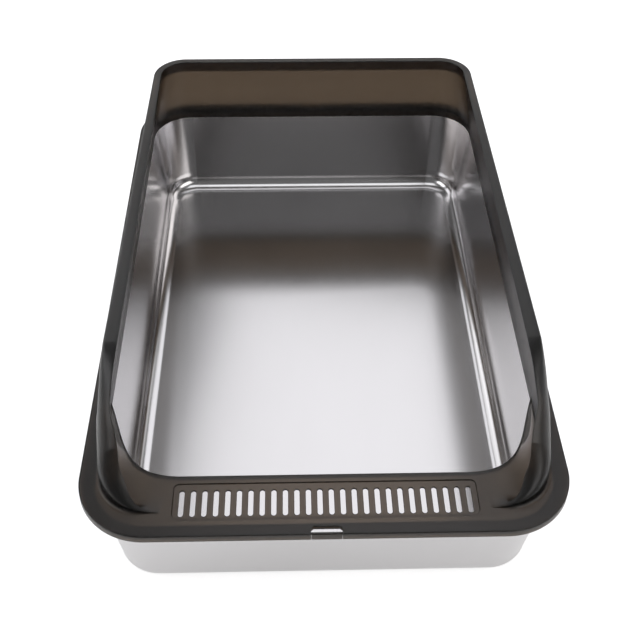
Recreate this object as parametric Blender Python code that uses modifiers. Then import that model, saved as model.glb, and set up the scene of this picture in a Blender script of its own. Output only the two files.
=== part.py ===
"""Stainless steel litter box.

A deep drawn steel pan stands on four rubber feet. A smoked plastic enclosure drops over its rim:
a flange with a turned down lip, a wall that leans in on three sides, and a low front apron with a
slotted grille. Six snap catches in the lip press on the turned down edge of the pan.

Metres, +Z up. The origin is on the floor under the middle of the box, and the low front faces -Y.
An inset is a distance inward from the outer edge of the enclosure's lip, seen from above.
"""
from math import cos, pi, radians, sin

import bmesh
import bpy
from mathutils import Matrix, Vector

# Overall
LENGTH = 0.600
WIDTH = 0.400
CORNER_RADIUS = 0.058
GAP = 0.0003
CUT_OVERRUN = 0.002

# Steel pan
STEEL = 0.0008
PAN_DEPTH = 0.101
RIM_BEND = 0.0030
SKIRT_DROP = 0.0105
SKIRT_LEAN = 0.0006
SKIRT_ROLL = 0.0015
FLANGE_WIDTH = 0.0116
MOUTH_BEND = 0.0050
PAN_DRAFT = 0.0095
FLOOR_FILLET = 0.0150

# Rubber feet
FOOT_RADIUS = 0.011
FOOT_HEIGHT = 0.0025
FOOT_CHAMFER = 0.0008
FOOT_INSET = 0.072

# Enclosure: flange, lip and locating rib
PLATE = 0.0022
LIP_DROP = 0.0072
LIP_WALL = 0.0016
LIP_DRAFT = 0.0003
LIP_EDGE = 0.0010
RIB_CLEARANCE = 0.0005
RIB_WALL = 0.0015
RIB_DROP = 0.0095

# Enclosure: wall and the band along its crest
WALL = 0.0022
WALL_HEIGHT = 0.0740
WALL_LEAN = 0.0162
FOOT_FILLET = 0.0030
FILLET_SHARE = 0.29
FILLET_LIMIT_SHARE = 0.5
EDGE_LIMIT_SHARE = 0.33
CREST_EDGE = 0.0006
BAND_REACH = 0.0058
BAND_PLATE = 0.0018
BAND_DROP = 0.0155
BAND_WALL = 0.0018
BAND_EDGE = 0.0012

# Enclosure: the wall's course round each front corner. Starts and ends are lengths along the
# wall's foot from the point where the corner starts to turn, and grow toward the front.
DROOP = 0.0400
DROOP_START = -0.0856
DROOP_END = 0.0319
FALL_START = -0.0200
FALL_END = 0.0880
LEAST_HEIGHT = 0.0006
PULL = 0.0098
PULL_START = -0.0330
PULL_FULL = 0.0050
PULL_FADE = 0.0291
PULL_END = 0.0688
SWELL_START = -0.100
SWELL_END = -0.025
SWELL_OUT = 0.0045
SWELL_UP_SHARE = 0.88
SWELL_SPLIT_SHARE = 0.55
SWELL_FULL_SHARE = 0.97
CLOSE_START_SHARE = 0.05
CLOSE_END_SHARE = 0.55
SWELL_FOOT_SHARE = 0.1
HOLLOW_LOW = 0.012
HOLLOW_HIGH = 0.026
FOOT_SHIFT = 0.0086
SHIFT_START = -0.0679
SHIFT_END = 0.0950
FLARE = 0.0045
FLARE_START = -0.360
FLARE_END = -0.040
FLAT_HEIGHT = 0.010

# Enclosure: front apron and grille
APRON_DEPTH = 0.057
APRON_LIP_DROP = 0.0050
SWEEP_LENGTH = 0.083
SWEEP_WIDTH = 0.0692
SWEEP_PULL_SHARE = 0.26
SWEEP_RISE_SHARE = 0.45
KNEE_FILLET = 0.010
KNEE_SHARE = 0.3
KNEE_LIMIT_SHARE = 0.45
RIB_TOP_DROP = 0.0040
PANEL_MARGIN = 0.0785
PANEL_DEPTH = 0.0315
PANEL_INSET = 0.0175
PANEL_RADIUS = 0.0040
PANEL_RECESS = 0.0010
PAD_DROP = 0.0008
PAD_MARGIN = 0.0012
SLOT_MARGIN = 0.0060
SLOT_PITCH = 0.0092
SLOT_WIDTH = 0.0042
SLOT_LENGTH = 0.0245
SLOT_INSET = 0.0313

# Snap catches and the windows behind them
WINDOW_LENGTH = 0.0247
WINDOW_DEPTH = 0.0080
WINDOW_CHAMFER = 0.0020
CATCH_NUB = 0.0003
CATCH_NUB_HEIGHT = 0.0012
CATCH_SPACING = 0.2320

# Counts of flat steps
PAN_CORNER_STEPS = 10
FRONT_CORNER_STEPS = 20
BACK_CORNER_STEPS = 9
SWEEP_SIDE_STEPS = 9
SWEEP_FRONT_STEPS = 5
BEND_STEPS = 3
FILLET_STEPS = 5
SLOT_END_STEPS = 6
PANEL_CORNER_STEPS = 4
KNEE_STEPS = 4
BAND_EDGE_STEPS = 3
WALL_STEPS = 5
BAND_TOP_STEPS = 1
LIP_EDGE_STEPS = 2
FOOT_STEPS = 24

# Nearness at which points are merged
MERGE = 0.00001

# Levels and insets that follow
RIM_INSET = LIP_WALL + CATCH_NUB + GAP
MOUTH_INSET = RIM_INSET + FLANGE_WIDTH
RIB_INNER = MOUTH_INSET + RIB_CLEARANCE + RIB_WALL
WALL_FOOT = RIB_INNER - WALL
PAN_UNDERSIDE = FOOT_HEIGHT + GAP
PAN_FLOOR = PAN_UNDERSIDE + STEEL
PAN_RIM = PAN_FLOOR + PAN_DEPTH
PLATE_TOP = PAN_RIM + GAP + PLATE
SIDE_EDGE = WIDTH / 2
END_EDGE = LENGTH / 2
CORNER_X = SIDE_EDGE - CORNER_RADIUS
CORNER_Y = END_EDGE - CORNER_RADIUS
APRON_Y = APRON_DEPTH - END_EDGE
CORNER_RUN = (CORNER_RADIUS - WALL_FOOT) * pi / 2
SWEEP_SIDE_RUN = APRON_DEPTH + SWEEP_LENGTH - CORNER_RADIUS
SWEEP_FRONT_X = SIDE_EDGE - RIB_INNER - SWEEP_WIDTH
SWEEP_FRONT_RUN = CORNER_RUN + CORNER_X - SWEEP_FRONT_X
PANEL_WIDTH = WIDTH - 2 * PANEL_MARGIN
SLOT_COUNT = 1 + int((PANEL_WIDTH - 2 * SLOT_MARGIN) / SLOT_PITCH)

# Materials: colour, roughness, metallic
STEEL_LOOK = ((0.62, 0.61, 0.60), 0.28, 1.0)
PLASTIC_LOOK = ((0.045, 0.042, 0.043), 0.22, 0.0)
RUBBER_LOOK = ((0.03, 0.03, 0.03), 0.85, 0.0)


def clear_scene():
    for item in list(bpy.data.objects):
        bpy.data.objects.remove(item, do_unlink=True)


def new_collection(name):
    collection = bpy.data.collections.new(name)
    bpy.context.scene.collection.children.link(collection)
    return collection


def new_material(name, look):
    colour, roughness, metallic = look
    material = bpy.data.materials.new(name)
    material.use_nodes = True
    shader = material.node_tree.nodes["Principled BSDF"]
    shader.inputs["Base Color"].default_value = (*colour, 1.0)
    shader.inputs["Roughness"].default_value = roughness
    shader.inputs["Metallic"].default_value = metallic
    return material


def add_object(name, mesh, collection, material=None):
    item = bpy.data.objects.new(name, mesh)
    collection.objects.link(item)
    if material:
        mesh.materials.append(material)
    return item


def mesh_from(name, bm, sharp_angle=radians(35)):
    bmesh.ops.recalc_face_normals(bm, faces=bm.faces)
    mesh = bpy.data.meshes.new(name)
    bm.to_mesh(mesh)
    bm.free()
    mesh.shade_smooth()
    mesh.set_sharp_from_angle(angle=sharp_angle)
    return mesh


def skin(bm, loops):
    """Quads between neighbouring loops of points; returns the loops' vertices."""
    rows = [[bm.verts.new(point) for point in loop] for loop in loops]
    for first, second in zip(rows, rows[1:]):
        count = len(first)
        for i in range(count):
            j = (i + 1) % count
            bm.faces.new((first[i], first[j], second[j], second[i]))
    return rows


def capped_loft(name, loops):
    bm = bmesh.new()
    rows = skin(bm, loops)
    bm.faces.new(rows[0])
    bm.faces.new(reversed(rows[-1]))
    return mesh_from(name, bm)


def prism(bm, outline, low, high):
    """A closed prism on a flat outline between two levels."""
    bottom = [bm.verts.new((x, y, low)) for x, y in outline]
    top = [bm.verts.new((x, y, high)) for x, y in outline]
    count = len(outline)
    bm.faces.new(reversed(bottom))
    bm.faces.new(top)
    for i in range(count):
        j = (i + 1) % count
        bm.faces.new((bottom[i], bottom[j], top[j], top[i]))


def arc(centre, radius, start, end, steps):
    return [
        (centre[0] + radius * cos(start + (end - start) * i / steps),
         centre[1] + radius * sin(start + (end - start) * i / steps))
        for i in range(steps + 1)
    ]


def rounded_outline(half_x, half_y, radius, steps, centre=(0, 0)):
    """Rounded rectangle, anticlockwise seen from above."""
    points = []
    for corner in range(4):
        side_x = 1 if corner in (0, 3) else -1
        side_y = 1 if corner in (0, 1) else -1
        middle = (centre[0] + side_x * (half_x - radius), centre[1] + side_y * (half_y - radius))
        points += arc(middle, radius, corner * pi / 2, (corner + 1) * pi / 2, steps)
    return points


def inset_ring(inset, level, steps):
    """Ring of the box's outline at an inset, with corners that stay concentric."""
    outline = rounded_outline(SIDE_EDGE - inset, END_EDGE - inset, CORNER_RADIUS - inset, steps)
    return [(x, y, level) for x, y in outline]


# Steel pan

def pan_profile():
    """Insets and levels of the upper skin, from the rolled edge of the skirt to the floor."""
    skirt_low = PAN_RIM - SKIRT_DROP
    roll = (RIM_INSET + SKIRT_LEAN + SKIRT_ROLL, skirt_low + SKIRT_ROLL)
    bend = (RIM_INSET + RIM_BEND, PAN_RIM - RIM_BEND)
    mouth = (MOUTH_INSET - MOUTH_BEND, PAN_RIM - MOUTH_BEND)
    wall_low = MOUTH_INSET + PAN_DRAFT
    fillet = (wall_low + FLOOR_FILLET, PAN_FLOOR + FLOOR_FILLET)
    points = arc(roll, SKIRT_ROLL, 1.5 * pi, pi, BEND_STEPS)
    points += arc(bend, RIM_BEND, pi, pi / 2, BEND_STEPS)
    points += arc(mouth, MOUTH_BEND, pi / 2, 0, BEND_STEPS)
    points += arc(fillet, FLOOR_FILLET, pi, 1.5 * pi, FILLET_STEPS)
    return points


def make_pan(collection, material):
    """Open skin from skirt to floor, thickened downward by the sheet."""
    bm = bmesh.new()
    rows = skin(bm, [inset_ring(inset, level, PAN_CORNER_STEPS) for inset, level in pan_profile()])
    bm.faces.new(rows[-1])
    pan = add_object("pan", mesh_from("pan", bm), collection, material)
    floor = max(pan.data.polygons, key=lambda face: face.area)
    sheet = pan.modifiers.new("sheet", "SOLIDIFY")
    sheet.thickness = STEEL
    sheet.offset = -1.0 if floor.normal.z > 0 else 1.0
    sheet.use_even_offset = True
    return pan


# Rubber feet

def make_feet(collection, material):
    bm = bmesh.new()
    outline = [(0, 0), (FOOT_RADIUS - FOOT_CHAMFER, 0), (FOOT_RADIUS, FOOT_CHAMFER),
               (FOOT_RADIUS, FOOT_HEIGHT), (0, FOOT_HEIGHT)]
    points = [bm.verts.new((x, 0, z)) for x, z in reversed(outline)]
    for first, second in zip(points, points[1:]):
        bm.edges.new((first, second))
    mesh = bpy.data.meshes.new("foot")
    bm.to_mesh(mesh)
    bm.free()
    mesh.materials.append(material)
    names = {"foot_front_left": (-1, -1), "foot_front_right": (1, -1),
             "foot_back_left": (-1, 1), "foot_back_right": (1, 1)}
    for name, (side_x, side_y) in names.items():
        foot = bpy.data.objects.new(name, mesh)
        collection.objects.link(foot)
        foot.location = (side_x * (SIDE_EDGE - FOOT_INSET), side_y * (END_EDGE - FOOT_INSET), 0)
        turn = foot.modifiers.new("turn", "SCREW")
        turn.steps = turn.render_steps = FOOT_STEPS
        turn.use_merge_vertices = True
        turn.merge_threshold = MERGE


# Enclosure

def smooth(share):
    share = min(1.0, max(0.0, share))
    return share * share * (3 - 2 * share)


def mix(first, second, share):
    return first + (second - first) * share


def passed(run, start, end):
    """How far a run is between two others, from 0 to 1 and easing at both."""
    return smooth((run - start) / (end - start))


def crest_height(run):
    """Height of the wall above the flange."""
    droop = DROOP * passed(run, DROOP_START, DROOP_END)
    height = (WALL_HEIGHT - droop) * (1 - passed(run, FALL_START, FALL_END))
    return height if height > LEAST_HEIGHT else 0.0


def crest_pull(run):
    """How far the crest is drawn in from the wall's plane as it rounds the corner."""
    return PULL * passed(run, PULL_START, PULL_FULL) * (1 - passed(run, PULL_FADE, PULL_END))


def foot_shift(run):
    """How much further in the wall's foot comes along the front than along the sides."""
    return FOOT_SHIFT * passed(run, SHIFT_START, SHIFT_END)


def wall_line(run, height):
    """Inset of the wall's straight outer face."""
    return WALL_FOOT + foot_shift(run) + WALL_LEAN * height / WALL_HEIGHT


def band_line(run, height):
    """Inset of the band's outer face."""
    reach = BAND_REACH + FLARE * passed(run, FLARE_START, FLARE_END)
    return wall_line(run, height) - reach * height / WALL_HEIGHT


def crest_edge(run):
    """Middle of the small round along the crest, and its radius."""
    height = crest_height(run)
    radius = min(CREST_EDGE, height * EDGE_LIMIT_SHARE)
    inset = wall_line(run, height) + crest_pull(run) + WALL - radius
    return Vector((inset, height - radius)), radius


def foot_top(run):
    """Upper end of the fillet between the flange and the wall's outer face."""
    height = min(FOOT_FILLET, crest_height(run) * FILLET_LIMIT_SHARE)
    return Vector((wall_line(run, height), height))


def swell_point(run, share, thickness=0.0):
    """Point of the wall's outer face at a front corner, or of the face behind it.

    The share runs from the fillet at the wall's foot to the crest.
    """
    centre, radius = crest_edge(run)
    start = foot_top(run)
    height = crest_height(run)
    bulge = SWELL_OUT * height / WALL_HEIGHT
    middle = Vector((wall_line(run, 0) - bulge, height * SWELL_UP_SHARE))
    end = centre + Vector((0, radius))
    point = (1 - share) ** 2 * start + 2 * share * (1 - share) * middle + share ** 2 * end
    if not thickness:
        return point
    along = (1 - share) * (middle - start) + share * (end - middle)
    return point + Vector((along.y, -along.x)).normalized() * thickness


def stations():
    """Places round the +X half of the box, from the middle of the front to the middle of the back.

    Each is a point on the outer edge, the direction outward and the run along the foot line,
    which is nought where the front corner starts to turn and grows toward the front.
    """
    places = [((0, -END_EDGE), (0, -1), CORNER_RUN + CORNER_X)]
    for i in range(SWEEP_FRONT_STEPS):
        x = mix(SWEEP_FRONT_X, CORNER_X, i / SWEEP_FRONT_STEPS)
        places.append(((x, -END_EDGE), (0, -1), CORNER_RUN + CORNER_X - x))
    for i in range(FRONT_CORNER_STEPS + 1):
        share = 1 - i / FRONT_CORNER_STEPS
        out = (cos(share * pi / 2), -sin(share * pi / 2))
        places.append((on_corner(out, -1), out, CORNER_RUN * share))
    for i in range(1, SWEEP_SIDE_STEPS + 1):
        run = SWEEP_SIDE_RUN * i / SWEEP_SIDE_STEPS
        places.append(((SIDE_EDGE, run - CORNER_Y), (1, 0), -run))
    for i in range(BACK_CORNER_STEPS + 1):
        angle = pi / 2 * i / BACK_CORNER_STEPS
        out = (cos(angle), sin(angle))
        places.append((on_corner(out, 1), out, -LENGTH))
    places.append(((0, END_EDGE), (0, 1), -LENGTH))
    return places


def on_corner(out, side):
    return (CORNER_X + CORNER_RADIUS * out[0], side * CORNER_Y + CORNER_RADIUS * out[1])


def at_inset(place, out, inset, height):
    return Vector((place[0] - out[0] * inset, place[1] - out[1] * inset, PLATE_TOP + height))


def sweep_point(share):
    """Edge of the opening from the side wall to the straight edge of the apron, 0 to 1."""
    side = SIDE_EDGE - RIB_INNER
    pull = side - SWEEP_WIDTH * SWEEP_PULL_SHARE
    rise = APRON_Y + SWEEP_LENGTH * SWEEP_RISE_SHARE
    first = Vector((side, APRON_Y + SWEEP_LENGTH, PLATE_TOP))
    second = Vector((pull, rise, PLATE_TOP))
    third = Vector((pull, APRON_Y, PLATE_TOP))
    last = Vector((side - SWEEP_WIDTH, APRON_Y, PLATE_TOP))
    rest = 1 - share
    return (rest ** 3 * first + 3 * share * rest ** 2 * second
            + 3 * share ** 2 * rest * third + share ** 3 * last)


def inner_edge(place, out, run):
    """Edge of the opening at a place, and how far the place is into the apron, 0 to 1."""
    share = (run + SWEEP_SIDE_RUN) / (SWEEP_FRONT_RUN + SWEEP_SIDE_RUN)
    if share <= 0:
        return at_inset(place, out, RIB_INNER, 0), 0.0
    if share >= 1:
        return Vector((place[0], APRON_Y, PLATE_TOP)), 1.0
    return sweep_point(share), smooth(share)


def curve_between(first, middle, last, steps):
    points = []
    for i in range(steps + 1):
        t = i / steps
        points.append((1 - t) ** 2 * first + 2 * t * (1 - t) * middle + t * t * last)
    return points


def toward(start, end, reach):
    """Point at a reach from start on the way to end, and at most near the middle of the way."""
    step = end - start
    if step.length < MERGE:
        return start
    return start + step * min(KNEE_LIMIT_SHARE, reach / step.length)


def outer_section(run):
    """Insets and heights from the lip's lower edge, over the flange and up to the crest.

    Along the sides and the back the wall ends in a band that hangs over outward. Toward each
    front corner the band runs out, and the wall swells outward instead.
    """
    height = crest_height(run)
    level = height / WALL_HEIGHT
    foot = wall_line(run, 0)
    start = foot_top(run)
    round_off = start.y * FILLET_SHARE
    points = [(0, -LIP_DROP)]
    points += arc((LIP_DRAFT + LIP_EDGE, -LIP_EDGE), LIP_EDGE, pi, pi / 2, LIP_EDGE_STEPS)
    points += [(foot - start.y, 0), (foot - round_off, round_off), tuple(start)]
    full = passed(run, SWELL_START, SWELL_END)
    closed = passed(full, CLOSE_START_SHARE, CLOSE_END_SHARE)
    full, closed = (1.0 if share > SWELL_FULL_SHARE else share for share in (full, closed))
    low = height - BAND_DROP * level
    under = mix(height - BAND_PLATE * level, low, closed)
    lip = BAND_WALL * level
    edge = min(BAND_EDGE, height * EDGE_LIMIT_SHARE)
    centre, crest = crest_edge(run)
    wall = [(wall_line(run, at), at) for at in
            (mix(start.y, under, i / WALL_STEPS) for i in range(1, WALL_STEPS + 1))]
    lip_points = [(band_line(run, under) + lip, under), (band_line(run, low) + lip, low),
                  (band_line(run, low), low)]
    corner = band_line(run, height) + edge
    band = arc((corner, height - edge), edge, pi, pi / 2, BAND_EDGE_STEPS)
    band += [(mix(corner, centre.x, i / (BAND_TOP_STEPS + 1)), height)
             for i in range(1, BAND_TOP_STEPS + 1)]
    shares = [SWELL_SPLIT_SHARE * i / WALL_STEPS for i in range(1, WALL_STEPS + 1)]
    shares += [SWELL_SPLIT_SHARE] * len(lip_points)
    shares += [mix(SWELL_SPLIT_SHARE, 1, i / (len(band) + 1)) for i in range(1, len(band) + 1)]
    points += [tuple(Vector(point).lerp(swell_point(run, share), full))
               for point, share in zip(wall + lip_points + band, shares)]
    points.append((centre.x, height))
    return points


def inner_section(place, out, run):
    """Points from the crest's inner edge down the wall, over the apron and round its rib."""
    height = crest_height(run)
    edge, apron = inner_edge(place, out, run)
    centre, crest = crest_edge(run)
    flat = 1 - smooth(height / FLAT_HEIGHT)
    crest_inner = at_inset(place, out, centre.x + crest, centre.y)
    knee = at_inset(place, out, wall_line(run, 0) + WALL, 0).lerp(edge, KNEE_SHARE * flat * apron)
    knee_start = toward(knee, crest_inner, KNEE_FILLET)
    hollow = passed(run, SWELL_START, SWELL_END) * passed(height, HOLLOW_LOW, HOLLOW_HIGH)
    points = [crest_inner]
    for i in range(1, WALL_STEPS + 1):
        share = mix(1, SWELL_FOOT_SHARE, (i - 1) / (WALL_STEPS - 1))
        behind = at_inset(place, out, *swell_point(run, share, WALL))
        points.append(crest_inner.lerp(knee_start, i / WALL_STEPS).lerp(behind, hollow))
    edge_top = edge - Vector((0, 0, RIB_TOP_DROP * (1 - apron)))
    edge_low = edge - Vector((0, 0, mix(RIB_DROP, APRON_LIP_DROP, apron)))
    points += curve_between(points.pop(), knee, toward(knee, edge_top, KNEE_FILLET), KNEE_STEPS)
    back = (at_inset(place, out, 0, 0) - edge).normalized() * RIB_WALL
    rib_low = edge_low + back
    rib_high = Vector((rib_low.x, rib_low.y, PLATE_TOP - PLATE))
    return points + [edge_top, edge_low, rib_low, rib_high]


def enclosure_section(place, out, run):
    """Closed section through lip, flange, wall, band and rib."""
    points = [at_inset(place, out, *point) for point in outer_section(run)]
    points += inner_section(place, out, run)
    points.append(at_inset(place, out, LIP_WALL, -PLATE))
    points.append(at_inset(place, out, LIP_WALL, -LIP_DROP))
    return points


def mirrored(item):
    half = item.modifiers.new("other half", "MIRROR")
    half.use_axis = (True, False, False)
    half.merge_threshold = MERGE
    return item


def hide_helper(item):
    item.hide_render = True
    item.display_type = "WIRE"
    return item


def add_boolean(item, name, other, operation):
    step = item.modifiers.new(name, "BOOLEAN")
    step.operation = operation
    step.object = other


def panel_prism(helpers, name, margin, low, high):
    """Prism with the outline of the apron's sunk panel, grown by a margin."""
    bm = bmesh.new()
    centre = (0, PANEL_INSET + PANEL_DEPTH / 2 - END_EDGE)
    outline = rounded_outline(PANEL_WIDTH / 2 + margin, PANEL_DEPTH / 2 + margin,
                              PANEL_RADIUS + margin, PANEL_CORNER_STEPS, centre)
    prism(bm, outline, low, high)
    return hide_helper(add_object(name, mesh_from(name, bm), helpers))


def panel_pad(helpers):
    """Extra plastic under the sunk panel, which keeps the plate about as thick there."""
    low = PLATE_TOP - PLATE
    high = low + (PLATE - PANEL_RECESS) / 2
    return panel_prism(helpers, "panel pad", PAD_MARGIN, low - PAD_DROP, high)


def panel_cutter(helpers):
    high = PLATE_TOP + CUT_OVERRUN
    return panel_prism(helpers, "panel recess", 0, PLATE_TOP - PANEL_RECESS, high)


def slot_cutter(helpers):
    bm = bmesh.new()
    radius = SLOT_WIDTH / 2
    straight = SLOT_LENGTH / 2 - radius
    middle_y = SLOT_INSET - END_EDGE
    for i in range(SLOT_COUNT):
        x = (i - (SLOT_COUNT - 1) / 2) * SLOT_PITCH
        outline = arc((x, middle_y + straight), radius, 0, pi, SLOT_END_STEPS)
        outline += arc((x, middle_y - straight), radius, pi, 2 * pi, SLOT_END_STEPS)
        low = PLATE_TOP - PLATE - PAD_DROP - CUT_OVERRUN
        prism(bm, outline, low, PLATE_TOP + CUT_OVERRUN)
    return hide_helper(add_object("grille slots", mesh_from("grille slots", bm), helpers))


def catch_places():
    """Name, outward turn about Z and middle of the lip's outer face for each catch."""
    half = CATCH_SPACING / 2
    return {
        "catch_front": (0, (0, -END_EDGE)),
        "catch_right_front": (pi / 2, (SIDE_EDGE, -half)),
        "catch_right_back": (pi / 2, (SIDE_EDGE, half)),
        "catch_back": (pi, (0, END_EDGE)),
        "catch_left_back": (-pi / 2, (-SIDE_EDGE, half)),
        "catch_left_front": (-pi / 2, (-SIDE_EDGE, -half)),
    }


def placed(bm, turn, middle):
    """Turns geometry drawn for the front edge to its place on the box."""
    matrix = Matrix.Translation((*middle, 0)) @ Matrix.Rotation(turn, 4, "Z")
    bmesh.ops.transform(bm, matrix=matrix, verts=bm.verts)


def add_placed(target, source):
    mesh = bpy.data.meshes.new("piece")
    source.to_mesh(mesh)
    source.free()
    target.from_mesh(mesh)
    bpy.data.meshes.remove(mesh)


def window_cutter(helpers):
    """Windows through the flange, open through the lip where a catch takes its place."""
    bm = bmesh.new()
    half = WINDOW_LENGTH / 2
    outline = [(-half, -CUT_OVERRUN), (half, -CUT_OVERRUN), (half, WINDOW_DEPTH - WINDOW_CHAMFER),
               (half - WINDOW_CHAMFER, WINDOW_DEPTH), (WINDOW_CHAMFER - half, WINDOW_DEPTH),
               (-half, WINDOW_DEPTH - WINDOW_CHAMFER)]
    for turn, middle in catch_places().values():
        piece = bmesh.new()
        prism(piece, outline, PLATE_TOP - LIP_DROP - CUT_OVERRUN, PLATE_TOP + CUT_OVERRUN)
        placed(piece, turn, middle)
        add_placed(bm, piece)
    return hide_helper(add_object("catch windows", mesh_from("catch windows", bm), helpers))


def make_enclosure(collection, helpers, material):
    bm = bmesh.new()
    skin(bm, [enclosure_section(*place) for place in stations()])
    bmesh.ops.remove_doubles(bm, verts=bm.verts, dist=MERGE)
    enclosure = add_object("enclosure", mesh_from("enclosure", bm), collection, material)
    mirrored(enclosure)
    add_boolean(enclosure, "pad", panel_pad(helpers), "UNION")
    add_boolean(enclosure, "panel", panel_cutter(helpers), "DIFFERENCE")
    add_boolean(enclosure, "slots", slot_cutter(helpers), "DIFFERENCE")
    add_boolean(enclosure, "windows", window_cutter(helpers), "DIFFERENCE")
    return enclosure


# Snap catches

def catch_section():
    """Inset and depth below the flange's top round a catch: a piece of the lip, with a low nub."""
    nub_top = LIP_DROP - CATCH_NUB_HEIGHT
    corner = arc((LIP_DRAFT + LIP_EDGE, LIP_EDGE), LIP_EDGE, pi, 1.5 * pi, LIP_EDGE_STEPS)
    return [(0, LIP_DROP)] + corner + [
        (LIP_WALL, 0), (LIP_WALL, nub_top - CATCH_NUB), (LIP_WALL + CATCH_NUB, nub_top),
        (LIP_WALL + CATCH_NUB, LIP_DROP - CATCH_NUB), (LIP_WALL, LIP_DROP),
    ]


def make_catches(collection, material):
    """Each catch has its origin on its hinge line, along the middle of its top."""
    half = WINDOW_LENGTH / 2 - GAP
    hinge = Vector((0, LIP_WALL / 2, PLATE_TOP - LIP_EDGE))
    for name, (turn, middle) in catch_places().items():
        loops = []
        for end in (-half, half):
            loops.append([Vector((end, inset, PLATE_TOP - drop)) - hinge
                          for inset, drop in catch_section()])
        item = add_object(name, capped_loft(name, loops), collection, material)
        item.location = Matrix.Rotation(turn, 4, "Z") @ hinge + Vector((*middle, 0))
        item.rotation_euler = (0, 0, turn)


def build():
    clear_scene()
    parts = new_collection("litter box")
    helpers = new_collection("helper shapes")
    steel = new_material("brushed steel", STEEL_LOOK)
    plastic = new_material("smoked plastic", PLASTIC_LOOK)
    rubber = new_material("rubber", RUBBER_LOOK)
    make_pan(parts, steel)
    make_feet(parts, rubber)
    make_enclosure(parts, helpers, plastic)
    make_catches(parts, plastic)


build()
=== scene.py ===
"""Looks of the stainless steel litter box.

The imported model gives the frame. The pan, the enclosure, its six catches and the four feet are
drawn again on the same sizes with smooth bends, rounded edges and detail, and stand for their
CAD nodes. Metres, +Z up, the low front faces -Y. An inset is a distance inward from the outer
edge of the enclosure's lip, seen from above.
"""

from math import copysign, cos, dist, pi, radians, sin

import bmesh
import bpy
from mathutils import Matrix, Vector


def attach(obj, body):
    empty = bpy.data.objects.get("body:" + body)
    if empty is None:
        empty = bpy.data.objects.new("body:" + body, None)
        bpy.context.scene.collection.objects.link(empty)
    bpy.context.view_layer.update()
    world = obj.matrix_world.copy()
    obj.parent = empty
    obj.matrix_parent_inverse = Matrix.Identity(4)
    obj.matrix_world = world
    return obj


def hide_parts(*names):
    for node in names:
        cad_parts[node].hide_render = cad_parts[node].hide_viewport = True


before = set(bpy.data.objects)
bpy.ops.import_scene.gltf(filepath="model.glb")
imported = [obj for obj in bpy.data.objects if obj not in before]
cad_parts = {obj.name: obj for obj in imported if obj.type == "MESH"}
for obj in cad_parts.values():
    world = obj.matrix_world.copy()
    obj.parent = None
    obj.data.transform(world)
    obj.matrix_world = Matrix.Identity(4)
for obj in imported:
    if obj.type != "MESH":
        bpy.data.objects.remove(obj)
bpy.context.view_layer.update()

# Overall
LENGTH = 0.600
WIDTH = 0.400
CORNER_RADIUS = 0.058
GAP = 0.0003
OVERRUN = 0.002
MERGE = 0.000005
SHARP_ANGLE = radians(38)

# Steel pan
STEEL = 0.0008
PAN_DEPTH = 0.101
RIM_BEND = 0.0030
SKIRT_DROP = 0.0105
SKIRT_LEAN = 0.0006
SKIRT_ROLL = 0.0015
FLANGE_WIDTH = 0.0116
MOUTH_BEND = 0.0050
PAN_DRAFT = 0.0095
FLOOR_FILLET = 0.0150
DRAW_STEP = 0.00035
DRAW_STEP_RISE = 0.0012
DRAW_STEP_UP = 0.0030

# Rubber feet
FOOT_RADIUS = 0.011
FOOT_HEIGHT = 0.0025
FOOT_CHAMFER = 0.0008
FOOT_INSET = 0.072

# Enclosure: flange, lip and locating rib
PLATE = 0.0022
LIP_DROP = 0.0072
LIP_WALL = 0.0016
LIP_DRAFT = 0.0003
LIP_EDGE = 0.0010
LIP_TOE = 0.0004
EDGE_LIMIT_SHARE = 1 / 3
RIB_CLEARANCE = 0.0005
RIB_WALL = 0.0015
RIB_DROP = 0.0095

# Enclosure: wall and the band along its crest
WALL = 0.0022
WALL_HEIGHT = 0.0740
WALL_LEAN = 0.0162
FOOT_FILLET = 0.0030
FILLET_LIMIT_SHARE = 0.5
CREST_EDGE = 0.0006
BAND_REACH = 0.0058
BAND_PLATE = 0.0018
BAND_DROP = 0.0155
BAND_WALL = 0.0018
BAND_EDGE = 0.0012

# Enclosure: the wall's course round each front corner, as runs along its foot that grow toward
# the front from where the corner starts to turn
DROOP = 0.0400
DROOP_RUN = (-0.0856, 0.0319)
FALL_RUN = (-0.0200, 0.0880)
LEAST_HEIGHT = 0.0006
PULL = 0.0098
PULL_RUN = (-0.0330, 0.0050)
PULL_FADE_RUN = (0.0291, 0.0688)
SWELL_RUN = (-0.100, -0.025)
SWELL_OUT = 0.0045
SWELL_UP_SHARE = 0.88
SWELL_SPLIT_SHARE = 0.55
SWELL_FULL = 0.97
NOTCH_SHARES = (0.05, 0.55)
SWELL_FOOT_SHARE = 0.1
HOLLOW_HEIGHTS = (0.012, 0.026)
FOOT_SHIFT = 0.0086
FOOT_SHIFT_RUN = (-0.0679, 0.0950)
FLARE = 0.0045
FLARE_RUN = (-0.360, -0.040)
FAR_RUN = -0.600
FLAT_HEIGHT = 0.010

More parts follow.
